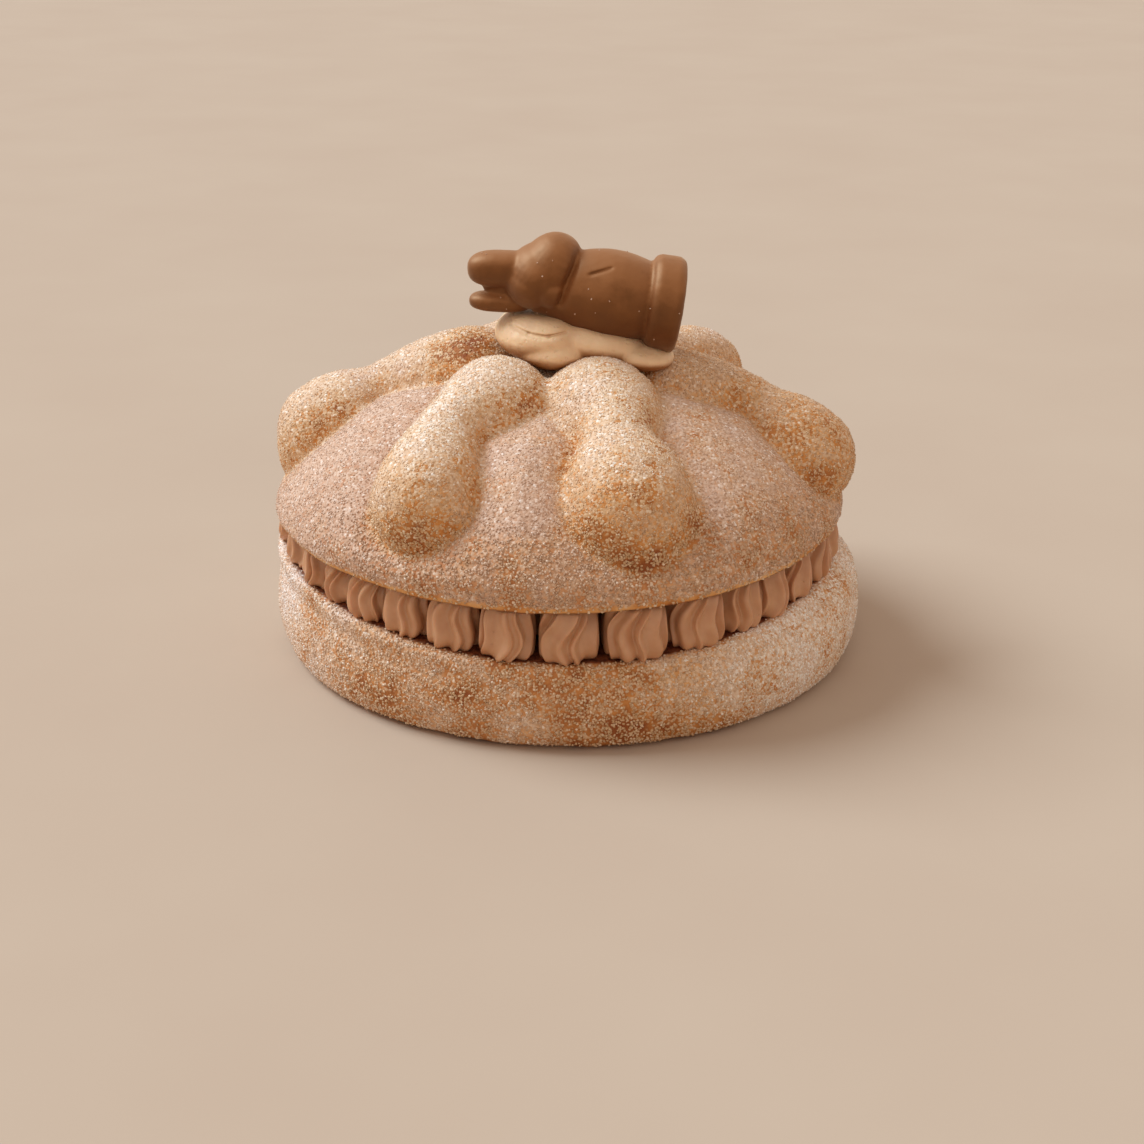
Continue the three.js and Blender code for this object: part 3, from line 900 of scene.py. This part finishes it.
# %% Arm and neck of the rabbit, and its finish
creased(rabbit, (3.6, 93.5), (9.7, 95.2), 0.32, 0.6)
creased(rabbit, (1.9, 99.4), (-3.2, 85.6), 0.9, 1.3)
roughened(rabbit, 5, 0.25)
# Painted light and shade: the tops are painted lighter and the undersides darker
painted(rabbit, "top_light", smoothstep(-0.6, 0.9, normals(rabbit)[:, 2]))
worn(rabbit, chocolate)
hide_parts("chocolate_rabbit")

# %% [markdown]
# ## Sugar
#
# Each grain is a small block of clear crystal, and tens of thousands cover the crust. One grain of
# each kind is modelled, and Geometry Nodes strews copies over the crust at random, as densely as
# the painted `grains` say, each turned and sized by chance. A particle system would do much the
# same, but here any paint can steer any number. The copies are realized, so that what is left is
# an ordinary mesh. A real crystal is clear, but one that takes the colour of the crust beneath it
# looks much the same at this size and renders far sooner.

# %% Sugar material
sugar, tree, shader, place = new_material("sugar")
coloured(tree, shader, sugar_colour(tree, paint(tree, "tint")))
finished(shader, {"Roughness": 0.5})


# %% One grain of each kind
def grain(name, size, lean):
    piece = bpy.context.active_object
    piece.name = name
    places = points(piece) * MM
    places[:, 0] += lean * places[:, 2]
    move_to(piece, places * size)
    piece.data.shade_smooth()
    return piece


bpy.ops.mesh.primitive_cube_add(size=1)
grains = [grain("grain_block", (0.58, 0.5, 0.48), 0.1)]
bpy.ops.mesh.primitive_cylinder_add(vertices=3, radius=0.6, depth=1)
grains.append(grain("grain_wedge", (0.62, 0.6, 0.5), 0.2))
bpy.ops.mesh.primitive_uv_sphere_add(segments=4, ring_count=3, radius=0.6)
grains.append(grain("grain_chip", (0.66, 0.56, 0.6), -0.2))
kinds = ("blocks", "wedges", "chips")
shares = (0.26, 0.48, 0.26)  # wedges have the fewest faces, so more of them are strewn
print("faces of a grain:", [len(piece.data.polygons) for piece in grains])


# %% Helpers for geometry nodes
def geometry(tree, kind, inputs, output="Geometry", **settings):
    return added(tree, "GeometryNode" + kind, inputs, settings).outputs[output]


def read(tree, name):
    return geometry(tree, "InputNamedAttribute", {"Name": name}, 0, data_type="FLOAT")


def chance(tree, seed, low, high):
    """Drawn anew for each grain: a number, or a vector where low and high are vectors."""
    vector = isinstance(low, tuple)
    inputs = {0: low, 1: high} if vector else {2: low, 3: high}
    settings = {"data_type": "FLOAT_VECTOR" if vector else "FLOAT"}
    drawn = added(tree, "FunctionNodeRandomValue", {**inputs, "Seed": seed}, settings)
    return drawn.outputs[0 if vector else 1]


# %% Strew grains over a surface
SEED = 7
SMALLEST, LARGEST, FINE = 0.6, 1.05, 0.6  # range of a grain's size, and how large fine ones are


def strewn(name, surface, kind, per_square_mm):
    tree = bpy.data.node_groups.new(name, "GeometryNodeTree")
    tree.interface.new_socket("Geometry", in_out="OUTPUT", socket_type="NodeSocketGeometry")
    ground = geometry(tree, "ObjectInfo", {"Object": surface})
    share = shares[kind] * per_square_mm / MM**2
    density = maths(tree, "MULTIPLY", read(tree, "grains"), share)
    inputs = {"Mesh": ground, "Density": density, "Seed": SEED + kind}
    strew = geometry(tree, "DistributePointsOnFaces", inputs, "Points", distribute_method="RANDOM")
    inputs = {"Geometry": strew, "Name": "tint", "Value": chance(tree, SEED + 20, 0, 1)}
    tinted = geometry(tree, "StoreNamedAttribute", inputs, data_type="FLOAT", domain="POINT")
    turn = chance(tree, SEED + 30, (0, 0, 0), (math.tau,) * 3)
    uneven = chance(tree, SEED + 40, (SMALLEST,) * 3, (LARGEST,) * 3)
    grown = maths(tree, "ADD", read(tree, "coarse"), FINE)
    size = node(tree, "VectorMath", {0: uneven, "Scale": grown}, operation="SCALE").outputs[0]
    crystal = geometry(tree, "ObjectInfo", {"Object": grains[kind]})
    inputs = {"Points": tinted, "Instance": crystal, "Rotation": turn, "Scale": size}
    copies = geometry(tree, "InstanceOnPoints", inputs, "Instances")
    real = geometry(tree, "RealizeInstances", {"Geometry": copies})
    tree.links.new(real, tree.nodes.new("NodeGroupOutput").inputs[0])
    bpy.ops.mesh.primitive_cube_add(size=MM)  # stands in until the grains take its place
    piece = bpy.context.active_object
    piece.name = name
    applied(piece, "NODES", node_group=tree)
    worn(piece, sugar)


# %% Sugar on lid and base, and a few grains on the rabbit
ON_CRUST, ON_RABBIT = 2.0, 0.06  # grains per square millimetre, at the most
BARE_TOP = 100.4  # the chocolate has no grains above this, to stay inside the CAD box
for place_name, surface in (("lid", lid), ("base", base)):
    for kind, word in enumerate(kinds):
        strewn(f"sugar_{place_name}_{word}", surface, kind, ON_CRUST)
painted(rabbit, "grains", points(rabbit)[:, 2] < BARE_TOP)
strewn("sugar_rabbit", rabbit, 0, ON_RABBIT)
for piece in grains:
    bpy.data.objects.remove(piece)
